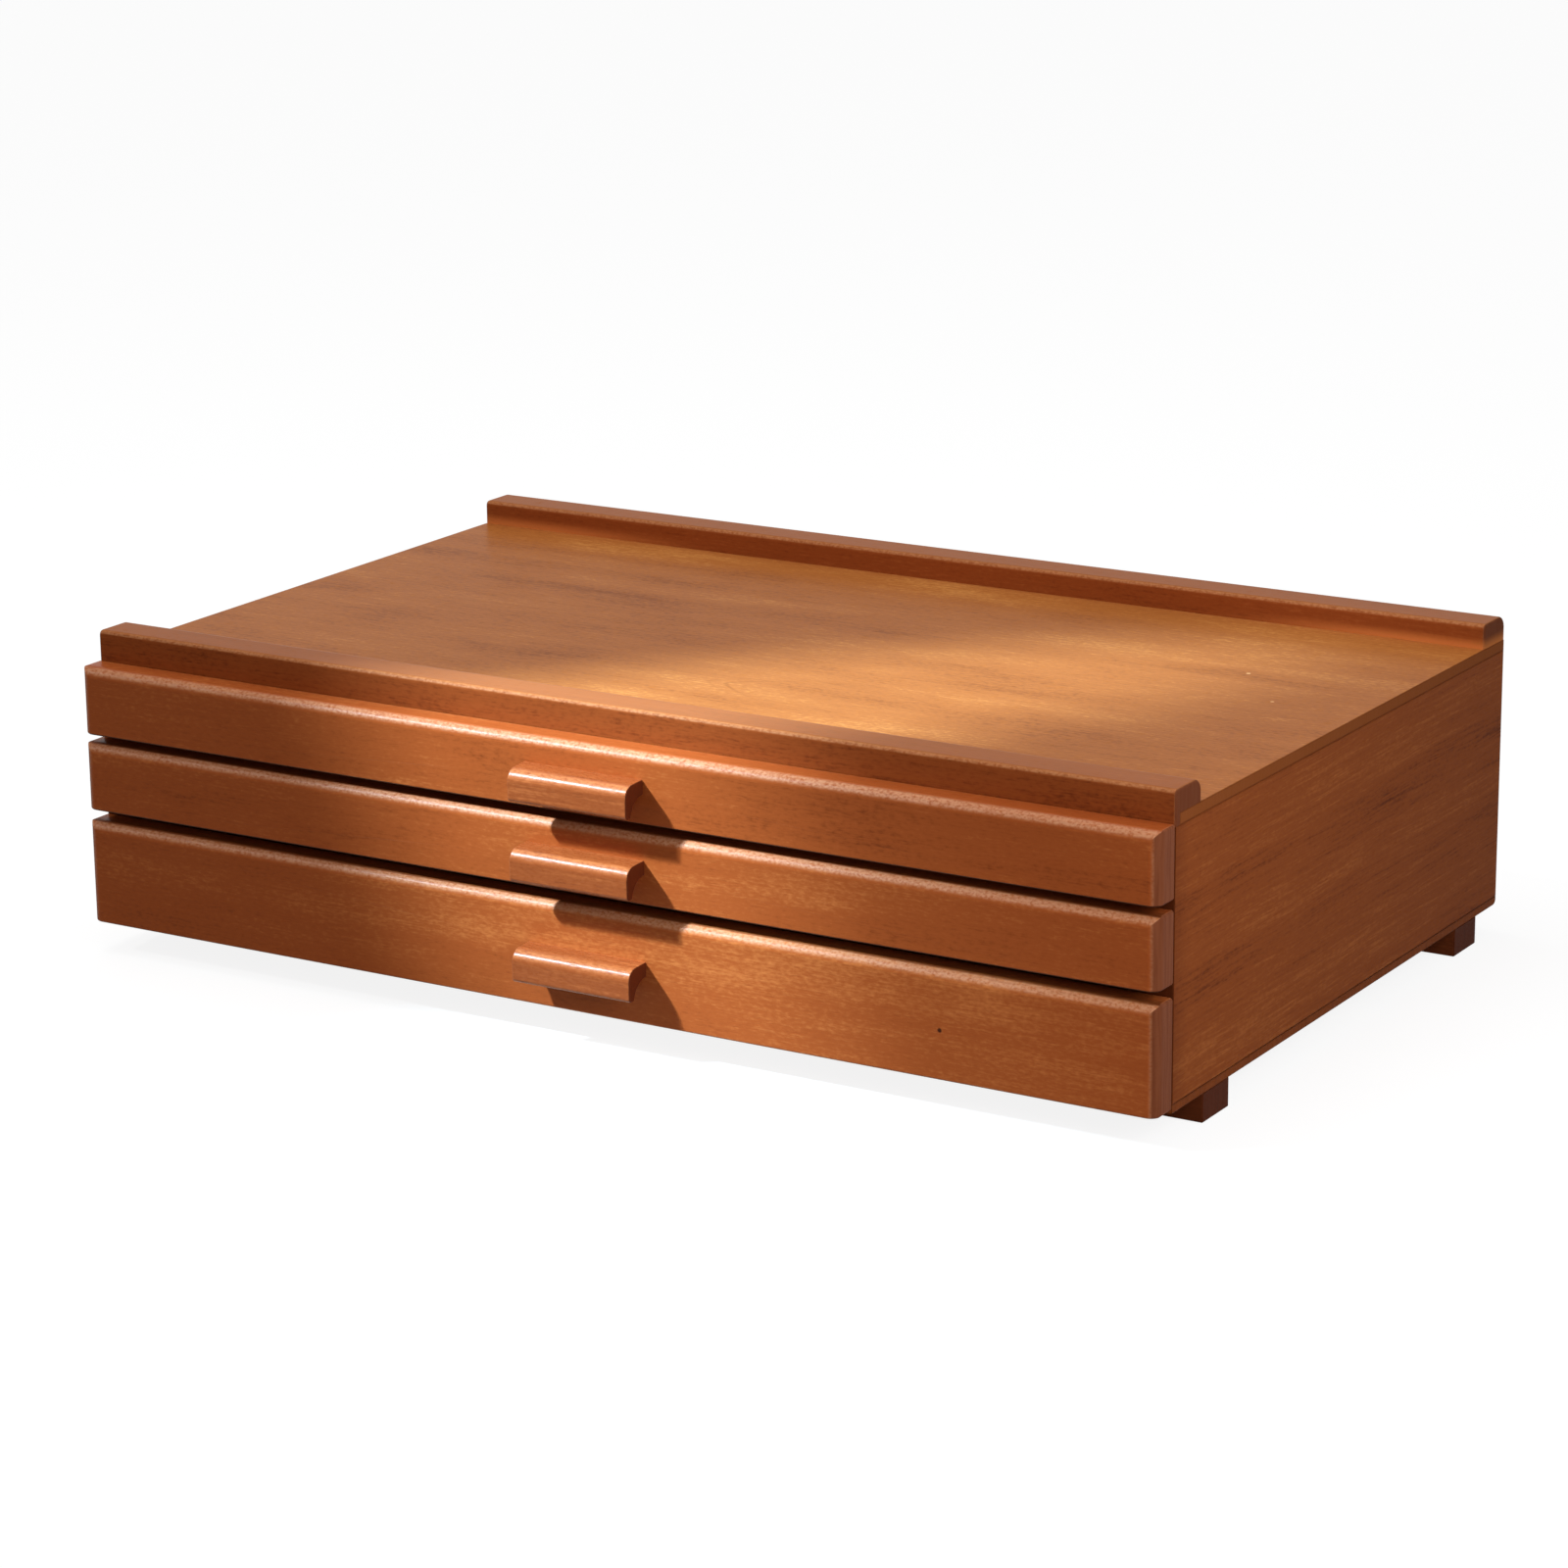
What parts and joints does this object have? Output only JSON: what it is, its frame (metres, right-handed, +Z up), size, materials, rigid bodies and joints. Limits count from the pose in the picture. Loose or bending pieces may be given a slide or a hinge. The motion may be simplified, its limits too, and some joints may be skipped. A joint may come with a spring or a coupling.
{
  "type": "drawer box",
  "caption": "Low wooden storage box with stacked full-width drawers on side runners, finger pulls, a tray between two rails on its top, and block feet.",
  "frame": {"origin": "on the surface the feet stand on, below the middle of the whole box with its pulls", "axes": "+X along the drawer fronts to the right, +Y from the drawer fronts to the back, +Z up"},
  "size_m": [0.43, 0.2818, 0.118],
  "materials": {
    "front_wood": "satin stain",
    "pull_wood": "satin stain",
    "rail_wood": "satin stain",
    "side_wood": "satin stain",
    "top_sheet": "satin stain on veneer",
    "bottom_sheet": "stain on plywood",
    "back_sheet": "stain on plywood",
    "foot_wood": "satin stain",
    "drawer_wood": "thin stain",
    "drawer_sheet": "thin stain on plywood",
    "runner_wood": "waxed",
    "steel": "zinc plated"
  },
  "bodies": {
    "carcase": {"left_side_panel": "side_wood", "right_side_panel": "side_wood", "top_panel": "top_sheet", "bottom_panel": "bottom_sheet", "back_panel": "back_sheet", "front_rail": "rail_wood", "back_rail": "rail_wood", "foot_screws": "steel", "rail_screws": "steel", "back_panel_brads": "steel", "bottom_panel_brads": "steel", "runner_brads": "steel", "front_left_foot": "foot_wood", "rear_left_foot": "foot_wood", "bottom_left_runner": "runner_wood", "middle_left_runner": "runner_wood", "top_left_runner": "runner_wood", "front_right_foot": "foot_wood", "rear_right_foot": "foot_wood", "bottom_right_runner": "runner_wood", "middle_right_runner": "runner_wood", "top_right_runner": "runner_wood"},
    "bottom_drawer": {"bottom_drawer_front": "front_wood", "bottom_drawer_left_side": "drawer_wood", "bottom_drawer_right_side": "drawer_wood", "bottom_drawer_back": "drawer_wood", "bottom_drawer_bottom": "drawer_sheet", "bottom_drawer_pull": "pull_wood", "bottom_drawer_pull_screws": "steel", "bottom_drawer_brads": "steel"},
    "middle_drawer": {"middle_drawer_front": "front_wood", "middle_drawer_left_side": "drawer_wood", "middle_drawer_right_side": "drawer_wood", "middle_drawer_back": "drawer_wood", "middle_drawer_bottom": "drawer_sheet", "middle_drawer_pull": "pull_wood", "middle_drawer_pull_screws": "steel", "middle_drawer_brads": "steel"},
    "top_drawer": {"top_drawer_front": "front_wood", "top_drawer_left_side": "drawer_wood", "top_drawer_right_side": "drawer_wood", "top_drawer_back": "drawer_wood", "top_drawer_bottom": "drawer_sheet", "top_drawer_pull": "pull_wood", "top_drawer_pull_screws": "steel", "top_drawer_brads": "steel"}
  },
  "joints": [
    {"name": "bottom_drawer_slide", "type": "slide", "parent": "carcase", "child": "bottom_drawer", "axis": [0, -1, 0], "range_m": [0, 0.2]},
    {"name": "middle_drawer_slide", "type": "slide", "parent": "carcase", "child": "middle_drawer", "axis": [0, -1, 0], "range_m": [0, 0.2]},
    {"name": "top_drawer_slide", "type": "slide", "parent": "carcase", "child": "top_drawer", "axis": [0, -1, 0], "range_m": [0, 0.2]}
  ]
}
